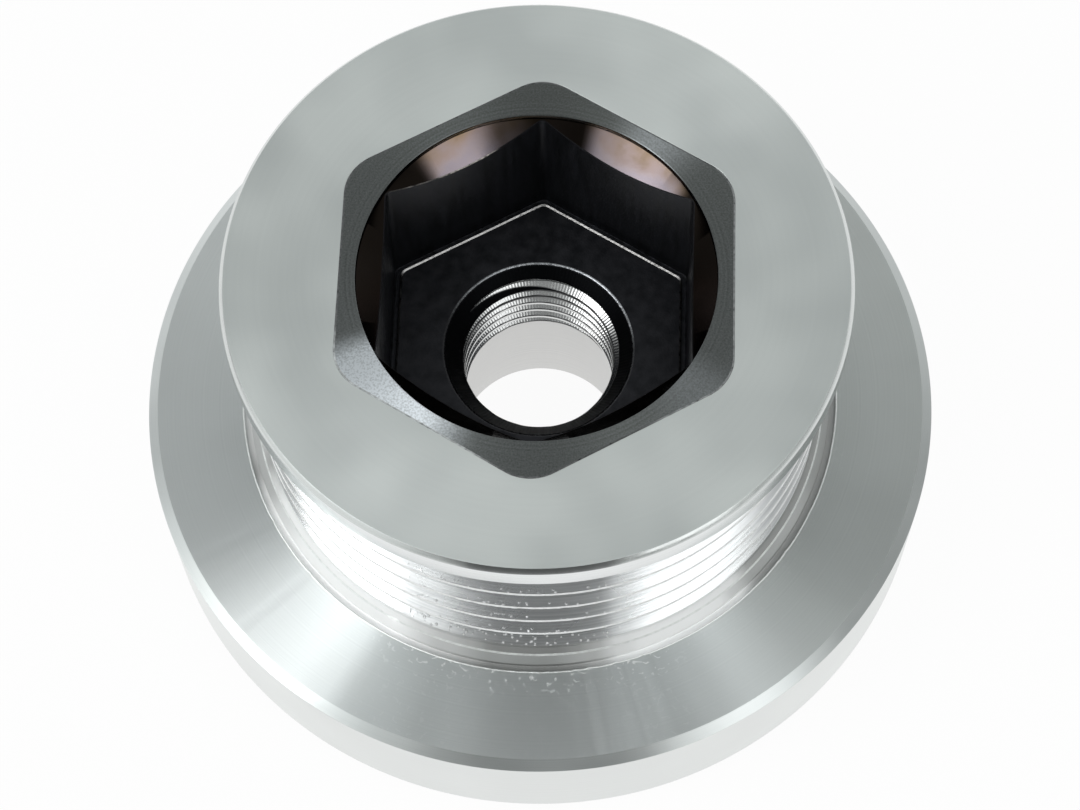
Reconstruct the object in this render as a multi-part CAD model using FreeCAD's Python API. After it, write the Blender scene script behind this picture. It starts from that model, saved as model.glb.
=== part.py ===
import FreeCAD, Part
import math
import os

# Alternator pulley for a six-rib belt: a turned aluminium body cast round a threaded steel insert.
# Millimetres. The axis is Z, the origin is its crossing with the rear seat face, and the front
# face looks up along +Z. Two corners of the hexagons point along +Y and -Y.

# Body, along the axis from front to rear
front_flange_thickness = 2.65
rib_pitch = 3.56                # standard pitch of a ribbed belt of the PK section
groove_count = 6
land_length = 0.3               # plain land behind the last groove
foot_height = 1.44              # end of the land to the face of the rear flange
rim_height = 12.5               # face of the rear flange to the rear edge of its rim
rear_standoff = 1.25            # the rear seat face stands this far behind the rim

# Body, across the axis
drum_diameter = 55.0            # over the rib crests
front_flange_rise = 1.5         # front flange over the rib crests
foot_cone_width = 1.25          # cone between the land and the relief groove
relief_width = 0.65             # relief groove turned round the foot of the drum
relief_depth = 0.25             # below the face of the rear flange
rear_flange_diameter = 78.0
rim_wall = 5.5                  # wall of the rear rim at its open end
boss_wall = 5.9                 # rear boss over the corners of the insert
web_thickness = 4.5             # metal between the rear flange face and the rear recess

# Body, edges and groove section
groove_angle = 40.0             # between the two flanks of a groove
crest_radius = 0.25
root_radius = 0.5
front_chamfer = 0.5
rear_chamfer_width = 1.0
rear_chamfer_height = 0.75
rim_edge_chamfer = 0.5
edge_break = 0.12
relief_fillet = 0.1
recess_draft = 3.0              # degrees of draft on the walls of the rear recess
recess_fillet = 1.5

# Insert, hexagon socket
socket_across_flats = 28.5
socket_corner_radius = 0.8
socket_depth = 16.0
lead_in_width = 2.25            # round mouth over the flats of the socket
lead_in_straight = 0.6          # straight wall of the mouth above the lead-in cone
trench_width = 0.55             # tool run-out groove round the socket floor
trench_depth = 0.4

# Insert, outside
insert_wall = 3.75              # between the flats of the socket and those of the insert
insert_corner_radius = 4.4
lock_groove_depth = 1.4         # groove across the corners, which holds the insert in the casting
lock_groove_width = 5.0
lock_groove_setback = 19.0      # front face to the middle of the lock groove
seat_collar_step = 1.0          # round rear end inside the flats of the insert
seat_collar_chamfer = 0.4

# Insert, threaded and plain bore
thread_diameter = 16.0          # M16 x 1.5, drilled ready for the thread
thread_pitch = 1.5
thread_length = 7.3
countersink_width = 1.9         # round the drilled hole at the socket floor
shaft_step = 1.0                # shaft seat over the thread, which passes through it
bore_edge_chamfer = 0.35

# Radii worked out from the sizes above
crest_reach = drum_diameter / 2
front_reach = crest_reach + front_flange_rise
relief_inner_reach = crest_reach + foot_cone_width
relief_outer_reach = relief_inner_reach + relief_width
rear_reach = rear_flange_diameter / 2
lead_in_reach = socket_across_flats / 2 + lead_in_width
insert_across_flats = socket_across_flats + 2 * insert_wall
thread_reach = (thread_diameter - thread_pitch) / 2
countersink_reach = thread_reach + countersink_width
bore_reach = (thread_diameter + shaft_step) / 2
seat_collar_reach = insert_across_flats / 2 - seat_collar_step

# Heights over the rear seat face worked out from the sizes above
rim_edge = rear_standoff
flange_face = rim_edge + rim_height
foot_top = flange_face + foot_height
groove_end = foot_top + land_length
groove_top = groove_end + groove_count * rib_pitch
front_face = groove_top + front_flange_thickness
recess_top = flange_face - web_thickness
socket_floor = front_face - socket_depth
thread_start = socket_floor - countersink_width
thread_end = thread_start - thread_length
bore_top = thread_end - (bore_reach - thread_reach)

AXIS = FreeCAD.Vector(0, 0, 1)
CENTRE = FreeCAD.Vector(0, 0, 0)


def closed_wire(corners):
    """Closed wire through (vector, radius) corners, with an arc of that radius at each corner."""
    edges = []
    ends = []
    for index, (corner, radius) in enumerate(corners):
        before = (corners[index - 1][0] - corner).normalize()
        after = (corners[(index + 1) % len(corners)][0] - corner).normalize()
        if radius == 0:
            ends.append((corner, corner))
            continue
        half = before.getAngle(after) / 2
        reach = radius / math.tan(half)
        middle = (before + after).normalize() * (radius / math.sin(half) - radius)
        first = corner + before * reach
        last = corner + after * reach
        ends.append((first, last))
        edges.append(Part.Arc(first, corner + middle, last).toShape())
    for index, (first, last) in enumerate(ends):
        edges.append(Part.LineSegment(ends[index - 1][1], first).toShape())
    return Part.Wire(Part.__sortEdges__(edges))


def turned(outline):
    """Solid of revolution of an outline of (radius, height) or (radius, height, rounding) points."""
    corners = []
    for point in outline:
        rounding = point[2] if len(point) == 3 else 0
        corners.append((FreeCAD.Vector(point[0], 0, point[1]), rounding))
    return Part.Face(closed_wire(corners)).revolve(CENTRE, AXIS, 360)


def corner_reach(across_flats, corner_radius):
    """Axis to the rounded corner of a hexagon."""
    return across_flats / math.sqrt(3) - corner_radius * (2 / math.sqrt(3) - 1)


def hexagon(across_flats, corner_radius, height):
    """Hexagon with rounded corners in a level plane, two of its corners on the Y axis."""
    corners = []
    for index in range(6):
        angle = math.radians(30 + 60 * index)
        reach = across_flats / math.sqrt(3)
        corner = FreeCAD.Vector(reach * math.cos(angle), reach * math.sin(angle), height)
        corners.append((corner, corner_radius))
    return closed_wire(corners)


def hexagon_prism(across_flats, corner_radius, bottom, top):
    """Upright prism on a rounded hexagon."""
    face = Part.Face(hexagon(across_flats, corner_radius, bottom))
    return face.extrude(AXIS * (top - bottom))


def groove_outline():
    """Ribbed drum from the front flange to the land: sharp crests and roots, each with its rounding."""
    half_angle = math.radians(groove_angle / 2)
    crest_loss = crest_radius / math.sin(half_angle) - crest_radius
    crest = crest_reach + crest_loss
    root = crest - rib_pitch / 2 / math.tan(half_angle)
    points = [(crest, groove_top)]
    for index in range(groove_count):
        top = groove_top - index * rib_pitch
        points.append((root, top - rib_pitch / 2, root_radius))
        if index < groove_count - 1:
            points.append((crest, top - rib_pitch, crest_radius))
    last_rise = crest_loss * math.tan(half_angle)
    points.append((crest_reach, groove_end + last_rise, edge_break))
    return points


def foot_outline():
    """Foot of the drum: end of the land, cone and relief groove, out to the rear flange face."""
    cone_end = foot_top - foot_cone_width
    relief_floor = flange_face - relief_depth
    return [
        (crest_reach, foot_top, edge_break),
        (relief_inner_reach, cone_end),
        (relief_inner_reach, relief_floor, relief_fillet),
        (relief_outer_reach, relief_floor, relief_fillet),
        (relief_outer_reach, flange_face),
    ]


def recess_cutter():
    """Ring-shaped rear recess between the boss and the rim, with drafted walls and round corners."""
    depth = recess_top - rim_edge
    slope = math.tan(math.radians(recess_draft))
    inner = corner_reach(insert_across_flats, insert_corner_radius) + boss_wall
    outer = rear_reach - rim_wall
    overrun = 1.0
    rounding = min(recess_fillet, depth / 3)
    return turned([
        (inner - overrun * slope, rim_edge - overrun),
        (outer + overrun * slope, rim_edge - overrun),
        (outer - depth * slope, recess_top, rounding),
        (inner + depth * slope, recess_top, rounding),
    ])


def make_insert_blank():
    """Hexagonal bar with a lock groove across its corners and a round seat collar at the rear."""
    bar = hexagon_prism(insert_across_flats, insert_corner_radius, rim_edge, front_face)
    groove_low = front_face - lock_groove_setback - lock_groove_width / 2
    groove_high = groove_low + lock_groove_width
    corner = corner_reach(insert_across_flats, insert_corner_radius)
    groove = turned([
        (corner - lock_groove_depth, groove_low),
        (corner + lock_groove_depth, groove_low),
        (corner + lock_groove_depth, groove_high),
        (corner - lock_groove_depth, groove_high),
    ])
    collar = turned([
        (0, 0),
        (seat_collar_reach - seat_collar_chamfer, 0),
        (seat_collar_reach, seat_collar_chamfer),
        (seat_collar_reach, rim_edge),
        (0, rim_edge),
    ])
    return bar.cut(groove).fuse(collar).removeSplitter()


def socket_cutter():
    """Hexagon socket with a run-out trench round its floor and a round lead-in at its mouth."""
    trench_floor = socket_floor - trench_depth
    floor_across_flats = socket_across_flats - 2 * trench_width
    shaft = hexagon_prism(socket_across_flats, socket_corner_radius, trench_floor, front_face)
    plateau = hexagon_prism(floor_across_flats, socket_corner_radius, trench_floor, socket_floor)
    cone_top = front_face - lead_in_straight
    cone_end = cone_top - lead_in_width
    lead_in = turned([
        (0, cone_end),
        (lead_in_reach - lead_in_width, cone_end),
        (lead_in_reach, cone_top),
        (lead_in_reach, front_face),
        (0, front_face),
    ])
    return shaft.cut(plateau).fuse(lead_in)


def bore_cutter():
    """Countersink, thread hole, exit cone and shaft seat, from the socket floor to the rear."""
    return turned([
        (0, socket_floor),
        (countersink_reach, socket_floor),
        (thread_reach, thread_start),
        (thread_reach, thread_end),
        (bore_reach, bore_top),
        (bore_reach, bore_edge_chamfer),
        (bore_reach + bore_edge_chamfer, 0),
        (0, 0),
    ])


def make_hex_insert():
    """Steel insert: the blank with its socket, thread hole and shaft seat."""
    return make_insert_blank().cut(socket_cutter()).cut(bore_cutter())


def make_pulley_body():
    """Aluminium body: front flange, ribbed drum, rear flange with rim and recess, and the pocket."""
    outline = [
        (0, front_face),
        (front_reach - front_chamfer, front_face),
        (front_reach, front_face - front_chamfer),
        (front_reach, groove_top, edge_break),
    ]
    outline += groove_outline()
    outline += foot_outline()
    outline += [
        (rear_reach - rear_chamfer_width, flange_face),
        (rear_reach, flange_face - rear_chamfer_height),
        (rear_reach, rim_edge + rim_edge_chamfer),
        (rear_reach - rim_edge_chamfer, rim_edge),
        (0, rim_edge),
    ]
    return turned(outline).cut(recess_cutter()).cut(make_insert_blank())


def main():
    os.makedirs("parts", exist_ok=True)
    make_pulley_body().exportStep("parts/pulley_body.step")
    make_hex_insert().exportStep("parts/hex_insert.step")


main()
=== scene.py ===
import bpy
import math
from mathutils import Matrix, Quaternion, Vector, noise


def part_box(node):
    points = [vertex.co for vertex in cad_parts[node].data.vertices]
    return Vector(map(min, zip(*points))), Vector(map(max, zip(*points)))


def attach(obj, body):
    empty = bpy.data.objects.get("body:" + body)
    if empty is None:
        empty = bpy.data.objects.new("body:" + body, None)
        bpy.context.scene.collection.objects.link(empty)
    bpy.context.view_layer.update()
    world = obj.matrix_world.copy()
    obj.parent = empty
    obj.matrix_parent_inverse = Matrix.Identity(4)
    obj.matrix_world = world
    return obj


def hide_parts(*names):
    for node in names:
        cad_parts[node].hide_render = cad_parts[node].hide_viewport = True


# Looks of an alternator pulley: a turned aluminium body round a dark steel insert with a black
# hexagon socket. Lengths are written in millimetres and scaled to metres where a mesh is made.
# Heights are over the rear seat face, and azimuths are in degrees round the shaft axis.

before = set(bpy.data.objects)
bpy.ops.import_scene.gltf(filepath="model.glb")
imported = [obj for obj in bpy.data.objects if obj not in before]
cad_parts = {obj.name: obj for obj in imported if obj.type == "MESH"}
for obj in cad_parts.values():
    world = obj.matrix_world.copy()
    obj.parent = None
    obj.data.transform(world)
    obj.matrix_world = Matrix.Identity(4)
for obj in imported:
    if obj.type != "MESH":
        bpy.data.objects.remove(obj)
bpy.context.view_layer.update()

MM = 0.001

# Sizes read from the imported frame
body_low, body_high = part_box("pulley_body")
insert_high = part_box("hex_insert")[1]
front_face = body_high.z / MM
rim_edge = body_low.z / MM
rear_reach = body_high.y / MM
insert_flat = insert_high.x / MM

# Body, front to rear
front_flange_thickness = 2.65
rib_pitch = 3.56
groove_count = 6
land_length = 0.3
foot_height = 1.44
crest_reach = 27.5
front_reach = 29.0
front_chamfer = 0.5
groove_half_angle = math.radians(20.0)
crest_radius = 0.25
root_radius = 0.5
foot_cone_width = 1.25
relief_width = 0.65
relief_depth = 0.25
rear_chamfer_width = 1.0
rear_chamfer_height = 0.75
rim_edge_chamfer = 0.5
rim_wall = 5.5
boss_reach = 26.0
web_thickness = 4.5
recess_slope = math.tan(math.radians(3.0))
recess_fillet = 1.5
relief_fillet = 0.1

# Fine edges of the body: its joint with the insert, the rib tips, the line round the foot of the
# drum and the burr round the relief groove
edge_round = 0.08
joint_edge = 0.03
land_taper = 0.1
crest_band = 0.12
tip_band = 0.06
drum_end = 1
last_crest_round = 0.16
foot_line = 0.45
burr_width = 0.16
burr_height = 0.04

# Insert
insert_corner_radius = 4.4
seam_width = 0.14
socket_flat = 14.25
socket_corner_radius = 0.8
socket_depth = 16.0
mouth_reach = 16.5
mouth_straight = 0.6
mouth_round_width = 0.07
mouth_round_depth = 0.06
cone_round = 0.05
chipped_width = 0.09
trench_width = 0.55
trench_depth = 0.4
trench_fillet = 0.15
worn_width = 0.21
worn_lip = 0.13
worn_lip_width = 0.06
worn_foot = 0.01
countersink_width = 1.9
countersink_lip = 0.25
ring_half_width = 0.1
ring_fall = 0.08
thread_reach = 7.25
thread_pitch = 1.5
thread_cut = 0.8
thread_phase = 0.47
thread_length = 7.3
thread_ring_count = 180
smooth_margin = 0.3
bore_reach = 8.5
bore_edge_chamfer = 0.35
seat_collar_reach = 17.0
seat_collar_chamfer = 0.4

# Thread profile of 60 degrees, in pitches from the middle of a root to both ends of the flank
root_end = 0.0625
flank_end = 0.375

# Points on a rounding of an outline
edge_steps = 2
land_steps = 5
fillet_steps = 6
crest_steps = 8

# Nicks: their depths in millimetres, the share of an edge that has them, the seeds of their places,
# how fine they are and how far they drop with their depth, then their patches and their grain
crest_nick = 0.22
foot_line_nick = 0.2
burr_nick = 0.25
nick_share = 0.6
foot_line_seed = 5.0
burr_seed = 3.0
nick_fineness = 38
nick_slant = 0.7
nick_drop = 0.3
patch_fineness = 2.2
patch_slant = 0.3
patch_weight = 0.5
grain_fineness = 2.7
grain_weight = 0.12
grain_level = 0.3

# Where marks lie on the body: chips below a height and beyond a reach, hairs between two reaches
many_chips_below = 18.4
few_chips_beyond = 27.0
hairs_near = 30.0
hairs_far = 32.5

# Heights
groove_top = front_face - front_flange_thickness
groove_end = groove_top - groove_count * rib_pitch
foot_top = groove_end - land_length
flange_face = foot_top - foot_height
recess_top = flange_face - web_thickness
socket_floor = front_face - socket_depth
thread_start = socket_floor - countersink_width
thread_end = thread_start - thread_length
bore_top = thread_end - (bore_reach - thread_reach)

# Steps round the axis: corners of the hexagons fall on whole steps
STEPS = 420


def corner_arc(before, corner, after, radius, count):
    """Points of a rounding at a corner of an outline, in (radius, height)."""
    corner = Vector(corner)
    first = (Vector(before) - corner).normalized()
    second = (Vector(after) - corner).normalized()
    half = first.angle(second) / 2
    centre = corner + (first + second).normalized() * (radius / math.sin(half))
    start = corner + first * (radius / math.tan(half)) - centre
    end = corner + second * (radius / math.tan(half)) - centre
    turn = math.atan2(start.x * end.y - start.y * end.x, start.dot(end))
    points = []
    for index in range(count + 1):
        angle = turn * index / count
        x = start.x * math.cos(angle) - start.y * math.sin(angle)
        y = start.x * math.sin(angle) + start.y * math.cos(angle)
        points.append((centre.x + x, centre.y + y))
    return points


def outline(corners, before=None, after=None):
    """Outline through (radius, height) or (radius, height, rounding, count) corners."""
    points = []
    for index, corner in enumerate(corners):
        if len(corner) == 2:
            points.append(corner)
            continue
        last = corners[index - 1][:2] if index > 0 else before
        following = corners[index + 1][:2] if index + 1 < len(corners) else after
        points += corner_arc(last, corner[:2], following, corner[2], corner[3])
    return points


def hexagon_reach(flat, corner_radius, azimuth):
    """Axis to the side of a rounded hexagon with two corners on the Y axis."""
    sixth = math.radians(60)
    turn = abs((azimuth + sixth) % sixth - sixth / 2)
    centre = (flat - corner_radius) / math.cos(sixth / 2)
    tangent = math.atan2(corner_radius * 0.5, centre + corner_radius * math.cos(sixth / 2))
    if turn >= tangent:
        return flat / math.cos(sixth / 2 - turn)
    sine = centre * math.sin(turn)
    return centre * math.cos(turn) + math.sqrt(corner_radius ** 2 - sine ** 2)


def azimuths():
    return [2 * math.pi * step / STEPS for step in range(STEPS)]


def circle(reach, height):
    return [(reach, height)] * STEPS


def hexagon(flat, corner_radius, height):
    return [(hexagon_reach(flat, corner_radius, turn), height) for turn in azimuths()]


class Rings:
    """Surface made of rings round the axis, each a list of (reach, height), one for each step."""

    def __init__(self):
        self.rings = []
        self.finishes = []

    def add(self, finish, rings):
        """Adds rings; the surface that leads to each of them has that finish."""
        for ring in rings:
            self.rings.append(ring)
            self.finishes.append(finish)

    def turned(self, finish, points):
        self.add(finish, [circle(reach, height) for reach, height in points])

    def mesh(self, name, materials, inwards, sharp_angle, smooth_within=0.0, smooth_below=0.0):
        """Closed mesh in metres; inwards says that the outline runs inwards over the front face.

        The thread, within a reach and below a height, is shaded smoothly all over.
        """
        points = []
        for ring in self.rings:
            for turn, (reach, height) in zip(azimuths(), ring):
                points.append((reach * math.cos(turn) * MM, reach * math.sin(turn) * MM, height * MM))
        faces = []
        slots = []
        names = [material.name for material in materials]
        for index in range(len(self.rings)):
            following = (index + 1) % len(self.rings)
            slot = names.index(self.finishes[following])
            for step in range(STEPS):
                ahead = (step + 1) % STEPS
                corners = [index * STEPS + step, following * STEPS + step,
                           following * STEPS + ahead, index * STEPS + ahead]
                if inwards:
                    corners.reverse()
                faces.append(corners)
                slots.append(slot)
        data = bpy.data.meshes.new(name)
        data.from_pydata(points, [], faces)
        for material in materials:
            data.materials.append(material)
        data.polygons.foreach_set("material_index", slots)
        data.polygons.foreach_set("use_smooth", [True] * len(faces))
        data.set_sharp_from_angle(angle=math.radians(sharp_angle))
        for edge in data.edges:
            if all(points[corner][2] < smooth_below * MM for corner in edge.vertices) and all(
                    math.hypot(*points[corner][:2]) < smooth_within * MM for corner in edge.vertices):
                edge.use_edge_sharp = False
        data.update()
        piece = bpy.data.objects.new(name, data)
        bpy.context.scene.collection.objects.link(piece)
        weighted = piece.modifiers.new("wide faces lead the shading", "WEIGHTED_NORMAL")
        weighted.keep_sharp = True
        return piece


def nicked(ring, depth, seed):
    """Ring of an edge with small nicks: some steps pushed in, most of them barely."""
    marked = []
    for turn, (reach, height) in zip(azimuths(), ring):
        across, along = math.cos(turn), math.sin(turn)
        place = Vector((across * nick_fineness + seed, along * nick_fineness, height * nick_slant))
        wander = noise.noise(place)
        patch = noise.noise(Vector((
            across * patch_fineness, along * patch_fineness + seed, height * patch_slant)))
        hit = max(0.0, wander - (1 - nick_share) + patch_weight * patch)
        grain = grain_weight * (noise.noise(place * grain_fineness) + grain_level)
        marked.append((reach - depth * (hit + grain), height - nick_drop * depth * hit))
    return marked


# Levels by azimuth: pairs of degrees round the shaft axis and a level, blended in between. They
# were set for the light and dark parts that the photograph's studio leaves on turned faces.
# Painted shade on the grooves of the drum, darkest at the front
drum_front_painted_shade = [(-180, 0.0), (-110, 0.0), (-102, 1.0), (-76, 1.0), (-72, 0.0), (180, 0.0)]
# Painted greenish shade on the right of the rear flange face
flange_right_painted_shade = [(-180, 0.0), (-60, 0.0), (-35, 1.0), (20, 1.0), (90, 0.0), (180, 0.0)]
# Painted shade on the rear flange face, set by azimuth
flange_painted_shade = [
    (-180, 0.1), (-150, 0.15), (-137, 0.15), (-127, 0.08), (-122, 0.26), (-117, 0.64),
    (-107, 0.55), (-98, 0.0), (-77, 0.05), (-75.7, 0.26), (-74.7, 0.44), (-73, 0.36),
    (-71.7, 0.54), (-66, 0.78), (-62, 0.70), (-54, 0.36), (-47, 0.38), (-37, 0.1), (-31, 0.12),
    (20, 0.0), (150, 0.0), (180, 0.1)]
# Painted shade on the rear chamfer, set by azimuth
rear_edge_painted_shade = [
    (-180, 0.0), (-157, 0.0), (-147, 0.09), (-127, 0.1), (-117, 0.37), (-107, 0.42), (-97, 0.58),
    (-87, 0.05), (-77, 0.58), (-67, 0.42), (-57, 0.33), (-47, 0.42), (-37, 0.72), (-27, 0.86),
    (-17, 0.79), (90, 0.5), (160, 0.3), (180, 0.0)]
# Painted shade on the front chamfer, dark at the front
front_edge_painted_shade = [(-180, 0.9), (-103, 0.9), (-99, 0.0), (-76, 0.0), (-72, 0.9), (180, 0.9)]
# Painted light and shade in the relief groove at the foot of the drum
relief_painted_light = [
    (-180, 0.7), (-166, 0.5), (-161, 0.3), (-156, 0.7), (-150, 1.0), (-117, 1.0), (-112, 0.7),
    (-107, 0.5), (-102, 0.3), (-97, 0.03), (-85, 0.0), (-81, 0.1), (-77, 0.33), (-72, 0.87),
    (-67, 1.0), (-47, 1.0), (-41, 0.25), (-36, 0.17), (-5, 0.17), (60, 0.8), (180, 0.7)]
# Painted light and shade on the foot cone of the drum
foot_painted_light = [
    (-180, 0.4), (-160, 0.28), (-156, 0.32), (-150, 0.68), (-141, 1.0), (-117, 1.0), (-107, 0.43),
    (-97, 0.11), (-87, 0.05), (-78, 0.28), (-72, 0.78), (-67, 1.0), (-51, 1.0), (-47, 0.62),
    (-42, 0.28), (-27, 0.37), (-17, 0.18), (-5, 0.18), (60, 0.6), (180, 0.4)]

# Levels by azimuth: where chips, hairs and worn edges are and where the lead-in cone has its tints.
# The insert's face has a painted highlight, and the ring round the bore has wear and a painted
# highlight.
drum_chips = [(-180, 0.0), (-118, 0.0), (-108, 1.0), (-75, 1.0), (-70, 0.0), (180, 0.0)]
flange_hairs = [(-180, 0.0), (-125, 0.1), (-105, 1.0), (-70, 1.0), (-60, 0.1), (180, 0.0)]
# Painted highlight on the insert's face, strongest at the lower left
face_painted_highlight = [
    (-180, 0.06), (-160, 0.08), (-150, 1.0), (-127, 0.9), (-104, 0.06), (-55, 0.04), (-36, 0.22),
    (-24, 0.06), (35, 0.04), (53, 0.25), (70, 0.02), (180, 0.06)]
seam_wear = [
    (-180, 0.2), (-165, 0.25), (-155, 0.9), (-108, 0.9), (-98, 0.25), (-60, 0.15), (-45, 0.5),
    (20, 0.45), (40, 0.2), (180, 0.2)]
# Places round the lead-in cone with the tints of heat; the cone is black elsewhere
cone_tint_places = [
    (-180, 0.0), (32, 0.0), (39, 1.0), (69, 1.0), (76, 0.0), (91, 0.05), (103, 0.35), (111, 0.75),
    (129, 0.7), (136, 0.0), (180, 0.0)]
cone_chips = [
    (-180, 0.0), (105, 0.0), (110, 0.9), (127, 0.9), (133, 0.15), (140, 0.3), (152, 0.0), (180, 0.0)]
floor_lip_wear = [
    (-180, 0.02), (28, 0.06), (34, 0.75), (92, 0.8), (95, 0.95), (148, 0.95), (153, 0.1), (180, 0.02)]
# Wear and a painted highlight on the ring round the bore: bright on the far side, black elsewhere
bore_ring_wear_and_painted_highlight = [
    (-180, 0.04), (0, 0.1), (25, 0.9), (105, 0.9), (135, 0.35), (165, 0.04), (180, 0.04)]

# Colours used in several places
BRIGHT_MARKS = (0.95, 0.96, 0.96)
# White of the painted highlight on the rib tips and on the light side of the relief groove
PAINTED_HIGHLIGHT_WHITE = (0.98, 0.99, 0.99)
BLACK_SKIN = (0.02, 0.02, 0.022)

# The radial tangent runs round the axis; this turns the wide side of a highlight across it
turning_rotation = 0.25


# Materials

class Finish:
    """A node material, with the place on the part in millimetres and short ways to add nodes."""

    def __init__(self, name):
        self.material = bpy.data.materials.new(name)
        self.material.use_nodes = True
        self.nodes = self.material.node_tree.nodes
        self.links = self.material.node_tree.links
        self.shader = self.nodes["Principled BSDF"]
        coordinates = self.node("ShaderNodeTexCoord")
        self.place = self.vector("SCALE", coordinates.outputs["Object"], 1 / MM)
        split = self.node("ShaderNodeSeparateXYZ")
        self.feed(split.inputs[0], self.place)
        self.x, self.y, self.z = split.outputs
        self.reach = self.math("SQRT", self.math(
            "ADD", self.math("MULTIPLY", self.x, self.x), self.math("MULTIPLY", self.y, self.y)))
        self.turn = self.math("ARCTAN2", self.y, self.x)

    def node(self, kind, **settings):
        node = self.nodes.new(kind)
        for setting, value in settings.items():
            setattr(node, setting, value)
        return node

    def feed(self, socket, value):
        if isinstance(value, bpy.types.NodeSocket):
            self.links.new(value, socket)
        elif isinstance(value, tuple) and socket.type == "RGBA":
            socket.default_value = (*value, 1)
        else:
            socket.default_value = value

    def math(self, operation, first, second=None, clamp=False):
        node = self.node("ShaderNodeMath", operation=operation, use_clamp=clamp)
        self.feed(node.inputs[0], first)
        if second is not None:
            self.feed(node.inputs[1], second)
        return node.outputs[0]

    def vector(self, operation, first, second):
        node = self.node("ShaderNodeVectorMath", operation=operation)
        self.feed(node.inputs[0], first)
        self.feed(node.inputs["Scale" if operation == "SCALE" else 1], second)
        return node.outputs[0]

    def noise(self, scale, detail=2.0, vector=None):
        node = self.node("ShaderNodeTexNoise")
        self.feed(node.inputs["Scale"], scale)
        self.feed(node.inputs["Detail"], detail)
        self.feed(node.inputs["Vector"], vector or self.place)
        return node.outputs["Fac"]

    def spread(self, value, low, high, start=0.3, stop=0.7):
        """Maps start..stop, by default the middle range of a noise, to low..high."""
        node = self.node("ShaderNodeMapRange")
        ends = (("From Min", start), ("From Max", stop), ("To Min", low), ("To Max", high))
        for name, number in ends:
            self.feed(node.inputs[name], number)
        self.feed(node.inputs["Value"], value)
        return node.outputs["Result"]

    def mix(self, factor, first, second):
        node = self.node("ShaderNodeMix", data_type="RGBA")
        self.feed(node.inputs["Factor"], factor)
        self.feed(node.inputs["A"], first)
        self.feed(node.inputs["B"], second)
        return node.outputs["Result"]

    def rings(self, scale):
        """Turning marks: perfect circles of uneven depth, a little stronger here and there."""
        node = self.node("ShaderNodeTexNoise", noise_dimensions="1D")
        self.feed(node.inputs["Scale"], scale)
        self.feed(node.inputs["Detail"], 3.0)
        self.feed(node.inputs["Roughness"], 0.7)
        self.feed(node.inputs["W"], self.math("SUBTRACT", self.reach, self.z))
        level = self.math("SUBTRACT", node.outputs["Fac"], 0.5)
        strength = self.spread(self.noise(0.12), 0.5, 1.3)
        return self.math("ADD", self.math("MULTIPLY", level, strength), 0.5)

    def by_azimuth(self, levels):
        """Values at azimuths in degrees round the shaft axis, blended between them."""
        fraction = self.spread(self.turn, 0.0, 1.0, -math.pi, math.pi)
        node = self.node("ShaderNodeValToRGB")
        node.color_ramp.interpolation = "EASE"
        elements = node.color_ramp.elements
        for element, (azimuth, level) in zip((elements[0], elements[1]), (levels[0], levels[-1])):
            element.position = (azimuth + 180) / 360
            element.color = (level, level, level, 1)
        for azimuth, level in levels[1:-1]:
            element = elements.new((azimuth + 180) / 360)
            element.color = (level, level, level, 1)
        self.feed(node.inputs["Fac"], fraction)
        return node.outputs["Color"]

    def colour(self):
        """What feeds the shader's colour so far."""
        return self.shader.inputs["Base Color"].links[0].from_socket

    def painted_shade_over(self, colour, levels, kept=0.38, shade_colour=(0.07, 0.08, 0.08)):
        """Colour with painted shade by azimuth; at a full level the share kept of it shows through."""
        return self.mix(self.by_azimuth(levels), colour, self.mix(kept, shade_colour, colour))

    def marked(self, mask, under, metallic):
        """Bright marks over a colour, where the mask says so, with less metallic shine."""
        self.feed(self.shader.inputs["Metallic"], self.spread(mask, 1.0, metallic, 0.0, 1.0))
        self.feed(self.shader.inputs["Base Color"], self.mix(mask, under, BRIGHT_MARKS))

    def surface(self, colour, roughness, metallic=1.0):
        self.feed(self.shader.inputs["Base Color"], colour)
        self.feed(self.shader.inputs["Roughness"], roughness)
        self.feed(self.shader.inputs["Metallic"], metallic)

    def brushed(self, anisotropy):
        """Stretches highlights across the turning marks."""
        self.feed(self.shader.inputs["Anisotropic"], anisotropy)
        self.feed(self.shader.inputs["Anisotropic Rotation"], turning_rotation)
        tangent = self.node("ShaderNodeTangent", direction_type="RADIAL", axis="Z")
        self.feed(self.shader.inputs["Tangent"], tangent.outputs[0])

    def relief(self, value, height):
        """Bump of a height in millimetres; a later call lies over an earlier one."""
        bump = self.node("ShaderNodeBump")
        self.feed(bump.inputs["Distance"], height * MM)
        self.feed(bump.inputs["Height"], value)
        earlier = self.shader.inputs["Normal"].links
        if earlier:
            self.feed(bump.inputs["Normal"], earlier[0].from_socket)
        self.feed(self.shader.inputs["Normal"], bump.outputs[0])


def turned_metal(name, dark, light, roughness, anisotropy, ring_height, ring_scale=4.0, grain=0.0,
                 ring_share=0.5):
    """Turned metal: fine circles in colour and relief, with soft clouds and, if asked, a fine grain.

    The circles take ring_share of the way from dark to light, and the clouds take the rest.
    """
    finish = Finish(name)
    rings = finish.rings(ring_scale)
    clouds = finish.noise(0.11, 1.0)
    tone = finish.math("ADD", finish.spread(rings, 0.0, ring_share),
                       finish.spread(clouds, 0.0, 1 - ring_share), True)
    finish.surface(finish.mix(tone, dark, light),
                   finish.spread(clouds, roughness - 0.04, roughness + 0.04))
    finish.brushed(anisotropy)
    finish.relief(rings, ring_height)
    if grain:
        finish.relief(finish.noise(6.0, 3.0), grain)
    return finish


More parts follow.
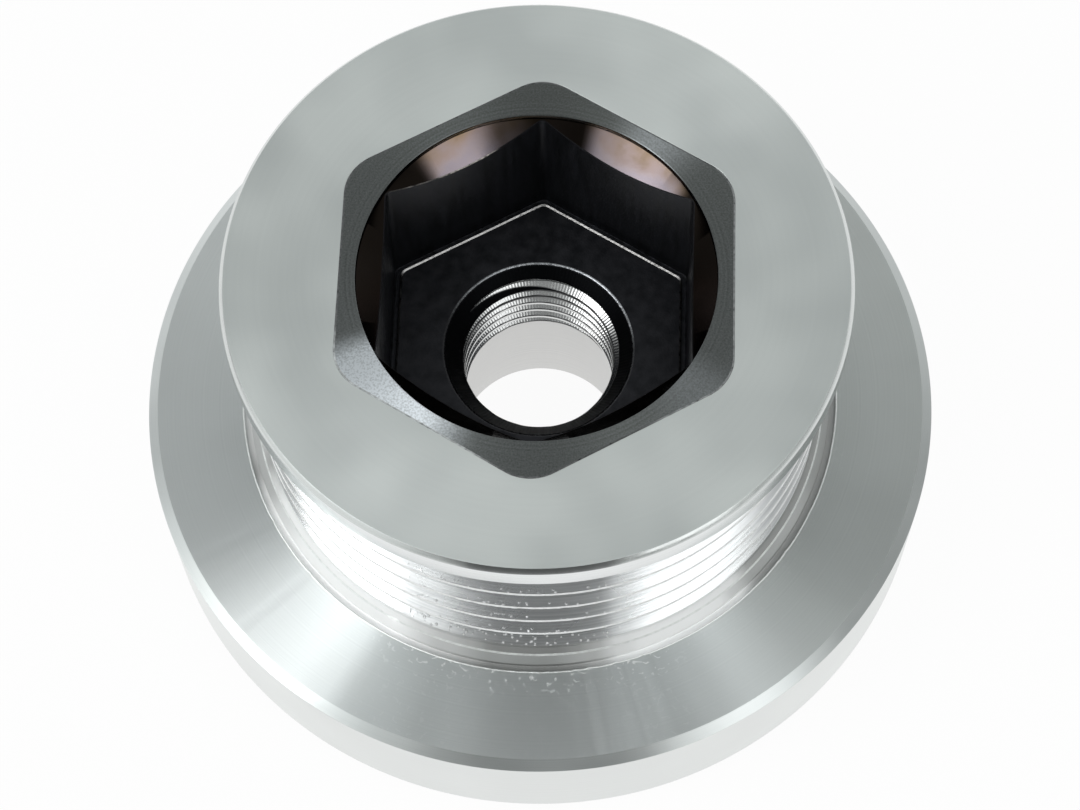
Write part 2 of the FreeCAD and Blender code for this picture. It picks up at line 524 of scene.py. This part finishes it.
def chipped_metal_with_painted_shade(name, dark, light, roughness, anisotropy):
    """Turned metal of the grooves, with painted shade that darkens the front and small bright chips
    there.

    Many chips lie in the last groove and a few on the crests.
    """
    finish = turned_metal(name, dark, light, roughness, anisotropy, 0.014, 3.4, ring_share=0.8)
    # Painted shade: the grooves darker at the front
    turned = finish.painted_shade_over(finish.colour(), drum_front_painted_shade, 0.67, (0.06, 0.06, 0.065))
    chips = finish.node("ShaderNodeTexVoronoi")
    finish.feed(chips.inputs["Vector"], finish.place)
    finish.feed(chips.inputs["Scale"], 2.1)
    places = finish.noise(1.1, 1.0)
    many = finish.math("MULTIPLY", finish.spread(places, 0.0, 1.0, 0.32, 0.42),
                       finish.spread(finish.z, 1.0, 0.0, many_chips_below, many_chips_below + 0.3))
    few = finish.math("MULTIPLY", finish.spread(places, 0.0, 0.8, 0.47, 0.55),
                      finish.spread(finish.reach, 0.0, 1.0, few_chips_beyond, few_chips_beyond + 0.1))
    hit = finish.spread(chips.outputs["Distance"], 1.0, 0.0, 0.16, 0.32)
    near = finish.by_azimuth(drum_chips)
    mask = finish.math("MULTIPLY", finish.math("MULTIPLY", hit, near),
                       finish.math("MAXIMUM", many, few))
    finish.relief(mask, 0.12)
    finish.marked(mask, turned, 0.2)
    return finish


def haired_metal_with_painted_shade(name, dark, light, roughness, anisotropy, ring_height, ring_scale):
    """Turned metal with painted shade here and there, and hair-fine curved scratches at the front.

    The scratches fade outwards, between the reaches hairs_near and hairs_far.
    """
    finish = turned_metal(name, dark, light, roughness, anisotropy, ring_height, ring_scale, 0.001, 0.6)
    # Painted greenish shade on the right, then painted shade round the face by azimuth
    turned = finish.painted_shade_over(finish.colour(), flange_right_painted_shade, 0.75, (0.08, 0.10, 0.06))
    turned = finish.painted_shade_over(turned, flange_painted_shade)
    hair = finish.math("ABSOLUTE", finish.math("SUBTRACT", finish.noise(0.8, 1.0), 0.5))
    some = finish.spread(finish.noise(1.9, 1.0), 0.0, 1.0, 0.52, 0.58)
    front = finish.by_azimuth(flange_hairs)
    mask = finish.math("MULTIPLY", finish.spread(hair, 0.7, 0.0, 0.012, 0.035),
                       finish.math("MULTIPLY", some, front))
    fade = finish.spread(finish.reach, 1.0, 0.15, hairs_near, hairs_far)
    mask = finish.math("MULTIPLY", mask, fade)
    finish.marked(mask, turned, 0.3)
    return finish


def black_steel(name, dark, light, roughness, scale, stretch=1.0):
    """Blackened steel with a fine grain and faint clouds, drawn out upright by a stretch under 1."""
    finish = Finish(name)
    clouds = finish.noise(scale, 3.0, finish.vector("MULTIPLY", finish.place, (1, 1, stretch)))
    colour = finish.mix(finish.spread(clouds, 0.0, 1.0), dark, light)
    finish.surface(colour, finish.spread(clouds, roughness - 0.08, roughness + 0.08), 0.75)
    finish.relief(finish.noise(9.0), 0.02)
    return finish


def faced_steel_with_painted_highlight(name):
    """Front face of the insert: dark, with a painted highlight of bright steel colour, strongest at the
    lower left.
    """
    finish = Finish(name)
    rings = finish.rings(5.0)
    # Painted highlight: bright steel colour by azimuth, mottled
    bright_share = finish.by_azimuth(face_painted_highlight)
    streaks = finish.spread(rings, -0.03, 0.03)
    specks = finish.spread(finish.noise(6.0, 1.0), -0.03, 0.04)
    highlight_mottle = finish.math("MULTIPLY", bright_share,
                         finish.spread(finish.noise(5.5, 3.0), -0.30, 0.20, 0.35, 0.65))
    tone = finish.math("ADD", finish.math("ADD", bright_share, highlight_mottle),
                       finish.math("ADD", streaks, specks), True)
    finish.surface(finish.mix(tone, (0.105, 0.113, 0.109), (0.72, 0.77, 0.81)), 0.38)
    finish.brushed(0.95)
    finish.relief(rings, 0.002)
    finish.relief(finish.noise(7.0, 2.0), 0.003)
    return finish


def tempered_steel(name):
    """Lead-in cone: straw, brown and violet tints of heat at the places given by azimuth, else black.
    """
    finish = Finish(name)
    cloud = finish.noise(0.35, 3.0)
    tint_per_mm = 0.42
    level = finish.math("MULTIPLY", finish.math("SUBTRACT", front_face, finish.z), tint_per_mm)
    tint = finish.math("ADD", level, finish.spread(cloud, -0.3, 0.3), True)
    ramp = finish.node("ShaderNodeValToRGB")
    elements = ramp.color_ramp.elements
    elements[0].color = (0.24, 0.165, 0.09, 1)
    elements[1].color = (0.34, 0.295, 0.33, 1)
    between = ((0.3, (0.31, 0.23, 0.18)), (0.55, (0.34, 0.265, 0.25)), (0.8, (0.355, 0.295, 0.305)))
    for position, colour in between:
        elements.new(position).color = (*colour, 1)
    finish.feed(ramp.inputs["Fac"], tint)
    # Tints at the given places round the cone, black elsewhere
    tinted = finish.by_azimuth(cone_tint_places)
    finish.surface(finish.mix(tinted, (0.014, 0.011, 0.009), ramp.outputs["Color"]),
                   finish.spread(cloud, 0.16, 0.26))
    return finish


def worn_edge_and_painted_highlight(name, colour, roughness, evenness, worn=None, metallic=1.0):
    """Bright edge with small uneven marks, all round or by azimuth: worn metal on most edges, a painted
    highlight on the rib tips and on the ring round the bore.

    At an evenness of 1 the marks have no tone of their own.
    """
    finish = Finish(name)
    marks = finish.noise(2.4, 3.0)
    dull = tuple(evenness * value for value in colour)
    metal = finish.mix(finish.spread(marks, 0.0, 1.0), dull, colour)
    if worn:
        metal = finish.mix(finish.by_azimuth(worn), BLACK_SKIN, metal)
    finish.surface(metal, finish.spread(marks, roughness - 0.1, roughness + 0.1), metallic)
    finish.relief(marks, 0.05)
    return finish


def painted_shade_metal(name, dark, light, roughness, anisotropy, ring_height, ring_scale, levels):
    """Turned metal with painted shade, as strong as the levels by azimuth say."""
    finish = turned_metal(name, dark, light, roughness, anisotropy, ring_height, ring_scale)
    finish.feed(finish.shader.inputs["Base Color"], finish.painted_shade_over(finish.colour(), levels))
    return finish


def painted_light_ring(name, dark, light, roughness, metallic, levels):
    """Narrow turned face with painted light and shade, dark to light as the levels by azimuth say."""
    finish = Finish(name)
    tone = finish.mix(finish.by_azimuth(levels), dark, light)
    finish.surface(tone, finish.spread(finish.noise(0.8), roughness - 0.05, roughness + 0.05),
                   metallic)
    return finish


def cut_thread(name):
    """Bright thread with fine cross marks; black skin stays on the countersink and first crests."""
    finish = Finish(name)
    above = finish.math("MAXIMUM", finish.math("SUBTRACT", finish.z, thread_start), 0.0)
    depth = finish.math("SUBTRACT", finish.math("SUBTRACT", finish.reach, thread_reach), above)
    bright_share = finish.spread(
        finish.z, 1.0, 0.0, thread_start - 1.7 * thread_pitch, thread_start - thread_pitch)
    cut = finish.math("MAXIMUM", finish.spread(depth, 0.0, 1.0, 0.01, 0.06), bright_share)
    marks_per_radian = 160.0
    ticks = finish.math("SINE", finish.math("MULTIPLY", finish.turn, marks_per_radian))
    finish.surface(finish.mix(cut, (0.014, 0.015, 0.017), (0.70, 0.71, 0.71)),
                   finish.spread(cut, 0.4, 0.2, 0.0, 1.0))
    finish.relief(ticks, 0.004)
    return finish


def body_materials():
    """Materials of the body.

    After the name, a turned metal has its dark and light colour, roughness, anisotropy, and the
    height in millimetres and the fineness of its rings. A ring of painted light and shade has
    roughness and metallic shine, and a bright edge has roughness and evenness.
    """
    return [finish.material for finish in (
        turned_metal("front_finish", (0.57, 0.605, 0.60), (0.67, 0.705, 0.695), 0.50, 0.45, 0.0006, 2.0,
                     grain=0.002, ring_share=0.12),
        turned_metal("edge_finish", (0.58, 0.61, 0.61), (0.72, 0.75, 0.74), 0.21, 0.4, 0.004, 6.0),
        turned_metal("land_finish", (0.74, 0.76, 0.76), (0.82, 0.84, 0.84), 0.12, 0.2, 0.0005, 3.0),
        # Grooves: turned metal with painted shade at the front, and chips
        chipped_metal_with_painted_shade("groove_finish_with_painted_shade", (0.74, 0.76, 0.77), (0.98, 0.99, 1.00), 0.28, 1.0),
        # Rib tips: a white, barely metallic band, a painted highlight along each crest
        worn_edge_and_painted_highlight("crest_painted_highlight", PAINTED_HIGHLIGHT_WHITE, 0.42, 0.85, metallic=0.1),
        # Relief groove, foot cone and front chamfer: painted light and shade by azimuth
        painted_light_ring("relief_finish_with_painted_light", (0.25, 0.255, 0.25), PAINTED_HIGHLIGHT_WHITE, 0.38, 0.3, relief_painted_light),
        painted_light_ring("foot_finish_with_painted_light", (0.295, 0.305, 0.30), (0.99, 1.0, 1.0), 0.45, 0.3, foot_painted_light),
        painted_light_ring("front_edge_finish_with_painted_shade", (0.30, 0.31, 0.31), (0.70, 0.73, 0.72), 0.21, 1.0,
                    front_edge_painted_shade),
        worn_edge_and_painted_highlight("burr_finish", (0.93, 0.95, 0.94), 0.50, 0.85),
        # Rear flange face: turned metal with painted shade, and hairs
        haired_metal_with_painted_shade("flange_finish_with_painted_shade", (0.82, 0.86, 0.86), (0.91, 0.95, 0.945), 0.38, 1.0, 0.003, 5.0),
        # Rear chamfer: turned metal with painted shade
        painted_shade_metal("rear_edge_finish_with_painted_shade", (0.77, 0.81, 0.81), (0.94, 0.98, 0.97), 0.32, 0.3, 0.004, 6.0,
                     rear_edge_painted_shade),
        turned_metal("rim_finish", (0.74, 0.76, 0.75), (0.82, 0.84, 0.83), 0.34, 0.6, 0.004, 4.0),
        turned_metal("recess_finish", (0.50, 0.52, 0.52), (0.62, 0.64, 0.64), 0.55, 0.2, 0.03, 1.5),
    )]


def insert_materials():
    """Materials of the insert; the black ones have a roughness and a fineness of their clouds."""
    return [finish.material for finish in (
        # Insert face: dark steel with a painted highlight
        faced_steel_with_painted_highlight("insert_finish_with_painted_highlight"),
        worn_edge_and_painted_highlight("seam_finish", (0.70, 0.73, 0.74), 0.35, 0.4, seam_wear, metallic=0.6),
        tempered_steel("lead_in_finish"),
        worn_edge_and_painted_highlight("chipped_finish", (0.72, 0.68, 0.64), 0.45, 0.1, cone_chips),
        black_steel("socket_finish", (0.012, 0.013, 0.015), (0.035, 0.037, 0.045), 0.36, 1.6,
                    stretch=0.12),
        black_steel("floor_finish", (0.012, 0.013, 0.016), (0.03, 0.031, 0.036), 0.42, 0.8),
        worn_edge_and_painted_highlight("worn_finish", (0.80, 0.79, 0.78), 0.34, 0.35, floor_lip_wear),
        # Ring round the bore: worn edge with a painted highlight on its far side
        worn_edge_and_painted_highlight("ring_finish_with_painted_highlight", (0.50, 0.52, 0.55), 0.26, 0.5, bore_ring_wear_and_painted_highlight),
        cut_thread("thread_finish"),
        turned_metal("bore_finish", (0.62, 0.62, 0.61), (0.72, 0.72, 0.71), 0.38, 0.3, 0.004),
        turned_metal("seat_finish", (0.42, 0.43, 0.43), (0.56, 0.57, 0.57), 0.30, 0.6, 0.006),
    )]


# Body

def groove_points():
    """Crests and roots of the ribbed drum, front to rear."""
    crest_loss = crest_radius / math.sin(groove_half_angle) - crest_radius
    crest = crest_reach + crest_loss
    root = crest - rib_pitch / 2 / math.tan(groove_half_angle)
    corners = [(crest, groove_top)]
    for index in range(groove_count):
        top = groove_top - index * rib_pitch
        corners.append((root, top - rib_pitch / 2, root_radius, fillet_steps))
        if index < groove_count - 1:
            corners.append((crest, top - rib_pitch, crest_radius, crest_steps))
    last_rise = crest_loss * math.tan(groove_half_angle)
    corners.append((crest_reach, groove_end + last_rise, crest_radius, land_steps))
    return outline(corners, after=(crest_reach, foot_top))


def nick_crests(rings):
    """Nicks along the tips of the ribs and along the last edge of the drum."""
    for index, ring in enumerate(rings):
        reach, height = ring[0]
        if height < groove_top - drum_end and reach > crest_reach - tip_band:
            rings[index] = nicked(ring, crest_nick, round(height / rib_pitch))


def make_pulley_body():
    rings = Rings()
    cone_end = foot_top - foot_cone_width
    relief_inner = crest_reach + foot_cone_width
    relief_outer = relief_inner + relief_width
    relief_floor = flange_face - relief_depth
    rings.add("front_finish", [
        hexagon(insert_flat, insert_corner_radius, rim_edge),
        hexagon(insert_flat, insert_corner_radius, front_face - joint_edge),
        hexagon(insert_flat + joint_edge, insert_corner_radius, front_face),
    ])
    rings.turned("front_finish", outline([
        (front_reach - front_chamfer, front_face, edge_round, edge_steps),
    ], before=(0, front_face), after=(front_reach, front_face - front_chamfer)))
    rings.turned("front_edge_finish_with_painted_shade", outline([
        (front_reach - land_taper, front_face - front_chamfer, edge_round, edge_steps),
    ], before=(front_reach - front_chamfer, front_face), after=(front_reach, groove_top)))
    rings.turned("land_finish", outline([
        (front_reach, groove_top, edge_round, edge_steps),
    ], before=(front_reach - land_taper, front_face - front_chamfer), after=(crest_reach, groove_top)))
    grooves = [circle(reach, height) for reach, height in groove_points()]
    crests = [
        groove_end + drum_end < ring[0][1] < groove_top - drum_end
        and ring[0][0] > crest_reach - crest_band
        for ring in grooves]
    nick_crests(grooves)
    # Rib tips take the white band of painted highlight
    for ring, on_crest, was_crest in zip(grooves, crests, [False] + crests):
        if ring[0][1] < groove_end + last_crest_round:
            rings.add("relief_finish_with_painted_light", [ring])
        else:
            rings.add("crest_painted_highlight" if on_crest and was_crest else "groove_finish_with_painted_shade", [ring])
    rings.turned("relief_finish_with_painted_light", outline([
        (crest_reach, foot_top, edge_round, 1),
    ], before=(crest_reach, groove_end), after=(relief_inner, cone_end)))
    line_reach = crest_reach + foot_line
    line_height = foot_top - foot_line
    rings.turned("relief_finish_with_painted_light", [(line_reach, line_height)])
    rings.add("burr_finish", [
        nicked(circle(line_reach + burr_height, line_height), foot_line_nick, foot_line_seed)])
    rings.turned("burr_finish", [(line_reach + burr_width, line_height - burr_width)])
    rings.turned("foot_finish_with_painted_light", outline([
        (relief_inner, cone_end, edge_round, edge_steps),
    ], before=(crest_reach, foot_top), after=(relief_inner, relief_floor)))
    rings.turned("relief_finish_with_painted_light", outline([
        (relief_inner, relief_floor, relief_fillet, edge_steps),
        (relief_outer, relief_floor, relief_fillet, edge_steps),
    ], before=(relief_inner, cone_end), after=(relief_outer, flange_face)))
    burr = [
        circle(relief_outer, flange_face),
        circle(relief_outer + burr_width / 2, flange_face + burr_height),
        circle(relief_outer + burr_width, flange_face),
    ]
    rings.add("burr_finish", [nicked(ring, burr_nick, burr_seed) for ring in burr])
    rings.turned("flange_finish_with_painted_shade", outline([
        (rear_reach - rear_chamfer_width, flange_face, edge_round, edge_steps),
    ], before=(relief_outer, flange_face), after=(rear_reach, flange_face - rear_chamfer_height)))
    rings.turned("rear_edge_finish_with_painted_shade", outline([
        (rear_reach, flange_face - rear_chamfer_height, edge_round, edge_steps),
    ], before=(rear_reach - rear_chamfer_width, flange_face), after=(rear_reach, rim_edge)))
    rings.turned("rim_finish", outline([
        (rear_reach, rim_edge + rim_edge_chamfer, edge_round, edge_steps),
    ], before=(rear_reach, flange_face), after=(rear_reach - rim_edge_chamfer, rim_edge)))
    depth = recess_top - rim_edge
    outer = rear_reach - rim_wall
    outer_foot = (outer - depth * recess_slope, recess_top)
    inner_foot = (boss_reach + depth * recess_slope, recess_top)
    rings.turned("edge_finish", outline([
        (rear_reach - rim_edge_chamfer, rim_edge, edge_round, edge_steps),
        (outer, rim_edge, edge_round * 2, edge_steps),
    ], before=(rear_reach, rim_edge + rim_edge_chamfer), after=outer_foot))
    rings.turned("recess_finish", outline([
        (*outer_foot, recess_fillet, fillet_steps),
        (*inner_foot, recess_fillet, fillet_steps),
        (boss_reach, rim_edge, edge_round * 2, edge_steps),
    ], before=(outer, rim_edge), after=(insert_flat, rim_edge)))
    return rings.mesh("pulley_body_turned", body_materials(), inwards=False, sharp_angle=24)


# Insert

def thread_relief(turn, height):
    """Depth of the right-hand thread outside its crests, at an azimuth and a height."""
    place = (height - thread_end) / thread_pitch - turn / (2 * math.pi) + thread_phase
    from_root = abs(place % 1 - 0.5)
    share = (flank_end - from_root) / (flank_end - root_end)
    return thread_cut * min(1.0, max(0.0, share))


def bore_wall(height):
    """Reach of the drilled hole with its countersink and exit cone, before the thread."""
    above = max(0.0, height - thread_start)
    below = max(0.0, thread_end - height)
    return thread_reach + above + below


def thread_rings():
    """Rings from the countersink down through the thread to the shaft bore."""
    top = socket_floor - countersink_lip
    rings = []
    for index in range(thread_ring_count + 1):
        height = top + (bore_top - top) * index / thread_ring_count
        ring = []
        for turn in azimuths():
            cut = thread_reach + thread_relief(turn, height)
            ring.append((max(bore_wall(height), cut), height))
        rings.append(ring)
    return rings


def cone_foot():
    """Ring where the lead-in cone runs out on the socket walls: high at corners, low on flats."""
    foot = []
    for turn in azimuths():
        reach = hexagon_reach(socket_flat, socket_corner_radius, turn)
        foot.append((reach, front_face - mouth_straight - (mouth_reach - reach)))
    return foot


def make_hex_insert():
    rings = Rings()
    trench_floor = socket_floor - trench_depth
    plateau = socket_flat - trench_width
    countersink_reach = thread_reach + countersink_width
    rings.add("insert_finish_with_painted_highlight", [
        hexagon(insert_flat, insert_corner_radius, rim_edge),
        hexagon(insert_flat, insert_corner_radius, front_face - joint_edge),
    ])
    rings.add("seam_finish", [
        hexagon(insert_flat - joint_edge, insert_corner_radius, front_face),
        hexagon(insert_flat - seam_width, insert_corner_radius, front_face),
    ])
    rings.turned("insert_finish_with_painted_highlight", [
        (mouth_reach + mouth_round_width, front_face),
        (mouth_reach, front_face - mouth_round_depth),
    ])
    foot = cone_foot()
    rings.add("lead_in_finish", [
        circle(mouth_reach, front_face - mouth_straight + cone_round),
        circle(mouth_reach - cone_round, front_face - mouth_straight - cone_round),
        [(reach + chipped_width, height + chipped_width) for reach, height in foot],
    ])
    rings.add("chipped_finish", [foot])
    rings.add("socket_finish", [
        hexagon(socket_flat, socket_corner_radius, trench_floor + trench_fillet),
        hexagon(socket_flat - trench_fillet, socket_corner_radius, trench_floor),
        hexagon(plateau, socket_corner_radius, trench_floor),
        hexagon(plateau, socket_corner_radius, socket_floor + worn_lip / 2),
    ])
    rings.add("worn_finish", [
        hexagon(plateau - worn_lip_width, socket_corner_radius, socket_floor + worn_lip),
        hexagon(plateau - worn_width, socket_corner_radius, socket_floor + worn_foot),
    ])
    rings.turned("floor_finish", [(countersink_reach + ring_half_width, socket_floor)])
    rings.turned("ring_finish_with_painted_highlight", [(countersink_reach - ring_half_width, socket_floor - ring_fall)])
    rings.add("thread_finish", thread_rings())
    rings.turned("bore_finish", [(bore_reach, bore_edge_chamfer)])
    rings.turned("seat_finish", [
        (bore_reach + bore_edge_chamfer, 0),
        (seat_collar_reach - seat_collar_chamfer, 0),
        (seat_collar_reach, seat_collar_chamfer),
        (seat_collar_reach, rim_edge),
    ])
    return rings.mesh("hex_insert_machined", insert_materials(), inwards=True, sharp_angle=28,
                      smooth_within=countersink_reach - smooth_margin,
                      smooth_below=socket_floor - smooth_margin)


# Stage, lamps and camera

def make_floor():
    """Pale floor: the camera and shiny surfaces see it mostly white, with the shadow kept."""
    half = 3.0
    white_share = 0.95
    corners = [(-half, -half, 0), (half, -half, 0), (half, half, 0), (-half, half, 0)]
    data = bpy.data.meshes.new("floor")
    data.from_pydata(corners, [], [(0, 1, 2, 3)])
    paper = Finish("floor_paper")
    paper.surface((0.88, 0.88, 0.88), 0.9, 0.0)
    glow = paper.node("ShaderNodeEmission")
    seen = paper.node("ShaderNodeLightPath").outputs
    either = paper.math("ADD", seen["Is Camera Ray"], seen["Is Glossy Ray"], True)
    either = paper.math("ADD", either, seen["Is Transmission Ray"], True)
    mix = paper.node("ShaderNodeMixShader")
    paper.feed(mix.inputs["Fac"], paper.math("MULTIPLY", either, white_share))
    paper.feed(mix.inputs[1], paper.shader.outputs[0])
    paper.feed(mix.inputs[2], glow.outputs[0])
    paper.feed(paper.nodes["Material Output"].inputs["Surface"], mix.outputs[0])
    data.materials.append(paper.material)
    floor = bpy.data.objects.new("floor", data)
    bpy.context.scene.collection.objects.link(floor)


def make_world():
    """Soft studio round the part, made of the sky patches: dark at the camera, pale at the back."""
    world = bpy.data.worlds.new("studio")
    bpy.context.scene.world = world
    world.use_nodes = True
    nodes = world.node_tree.nodes
    links = world.node_tree.links

    def node(kind, **settings):
        made = nodes.new(kind)
        for setting, value in settings.items():
            setattr(made, setting, value)
        return made

    def patch(direction, inner, outer, level):
        """Soft round patch of a level round a direction, between two angles in degrees."""
        facing = node("ShaderNodeVectorMath", operation="DOT_PRODUCT")
        facing.inputs[1].default_value = Vector(direction).normalized()
        links.new(place, facing.inputs[0])
        ramp = node("ShaderNodeMapRange", interpolation_type="SMOOTHSTEP")
        ramp.inputs["From Min"].default_value = math.cos(math.radians(outer))
        ramp.inputs["From Max"].default_value = math.cos(math.radians(inner))
        ramp.inputs["To Max"].default_value = level
        links.new(facing.outputs["Value"], ramp.inputs["Value"])
        return ramp.outputs["Result"]

    def total(values):
        result = values[0]
        for value in values[1:]:
            added = node("ShaderNodeMath", operation="ADD")
            links.new(result, added.inputs[0])
            links.new(value, added.inputs[1])
            result = added.outputs[0]
        return result

    place = node("ShaderNodeTexCoord").outputs["Generated"]
    level = total([patch(*spot) for spot in sky_patches])
    tint = node("ShaderNodeMix", data_type="RGBA")
    tint.inputs["A"].default_value = (0, 0, 0, 1)
    tint.inputs["B"].default_value = (0.98, 1.0, 0.99, 1)
    tint.clamp_factor = False
    links.new(level, tint.inputs["Factor"])
    links.new(tint.outputs["Result"], nodes["Background"].inputs["Color"])


# Patches of the studio's walls and ceiling: direction, inner and outer angle in degrees, level.
# They are the whole studio, the dark camera, the dark room behind it, two pale ceiling panels, and
# the pale walls at the back, at the front left and at the right.
sky_patches = [
    ((0, 0, 1), 170, 180, 0.43),
    ((0.03, -0.5, 0.86), 4, 32, -0.07),
    ((0.0, -0.85, 0.5), 8, 36, -0.18),
    ((0.38, -0.18, 0.90), 12, 16, 1.45),
    ((-0.33, -0.25, 0.91), 9, 13, 1.40),
    ((0.1, 1.0, 0.0), 20, 75, 0.55),
    ((-0.79, -0.46, 0.26), 12, 40, 0.55),
    ((1.0, 0.05, 0.1), 15, 50, 0.12),
]


def make_lamp(name, azimuth, elevation, lean, distance, width, height, power):
    """Softbox that faces the part: angles in degrees, distance and size in metres, power in watts."""
    lamp = bpy.data.lights.new(name, "AREA")
    lamp.shape = "RECTANGLE"
    lamp.size = width
    lamp.size_y = height
    lamp.energy = power
    turn = math.radians(azimuth)
    rise = math.radians(elevation)
    place = Vector((math.cos(turn) * math.cos(rise), math.sin(turn) * math.cos(rise), math.sin(rise)))
    holder = bpy.data.objects.new(name, lamp)
    holder.location = place * distance + Vector((0, 0, front_face / 2 * MM))
    facing = place.to_track_quat("Z", "Y") @ Quaternion((0, 0, 1), math.radians(lean))
    holder.rotation_euler = facing.to_euler()
    bpy.context.scene.collection.objects.link(holder)


def make_camera():
    """Camera at the photograph's viewing angle: reach and height in millimetres, angles in degrees."""
    reach = 109.05
    height = 256.55
    azimuth = -86.7
    tilt_down = 66.14
    roll = -1.55
    picture_width = 1080
    focal_pixels = 2673.1
    data = bpy.data.cameras.new("view")
    data.sensor_width = 36.0
    data.lens = focal_pixels / picture_width * data.sensor_width
    data.clip_start = 0.01
    camera = bpy.data.objects.new("view", data)
    turn = math.radians(azimuth)
    spot = Matrix.Translation((reach * math.cos(turn) * MM, reach * math.sin(turn) * MM, height * MM))
    camera.matrix_world = (
        spot
        @ Matrix.Rotation(math.radians(azimuth + 90), 4, "Z")
        @ Matrix.Rotation(math.radians(90 - tilt_down), 4, "X")
        @ Matrix.Rotation(math.radians(roll), 4, "Z")
    )
    bpy.context.scene.collection.objects.link(camera)
    bpy.context.scene.camera = camera


body = make_pulley_body()
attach(body, "root")
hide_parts("pulley_body")

insert = make_hex_insert()
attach(insert, "root")
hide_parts("hex_insert")

make_floor()
make_world()
make_lamp("left_softbox", azimuth=-155, elevation=47, lean=24, distance=0.8,
          width=0.29, height=0.60, power=1.7)
make_lamp("right_softbox", azimuth=-44, elevation=31, lean=-17, distance=0.8,
          width=0.36, height=0.66, power=0.8)
make_camera()
bpy.context.scene.view_settings.view_transform = "Standard"
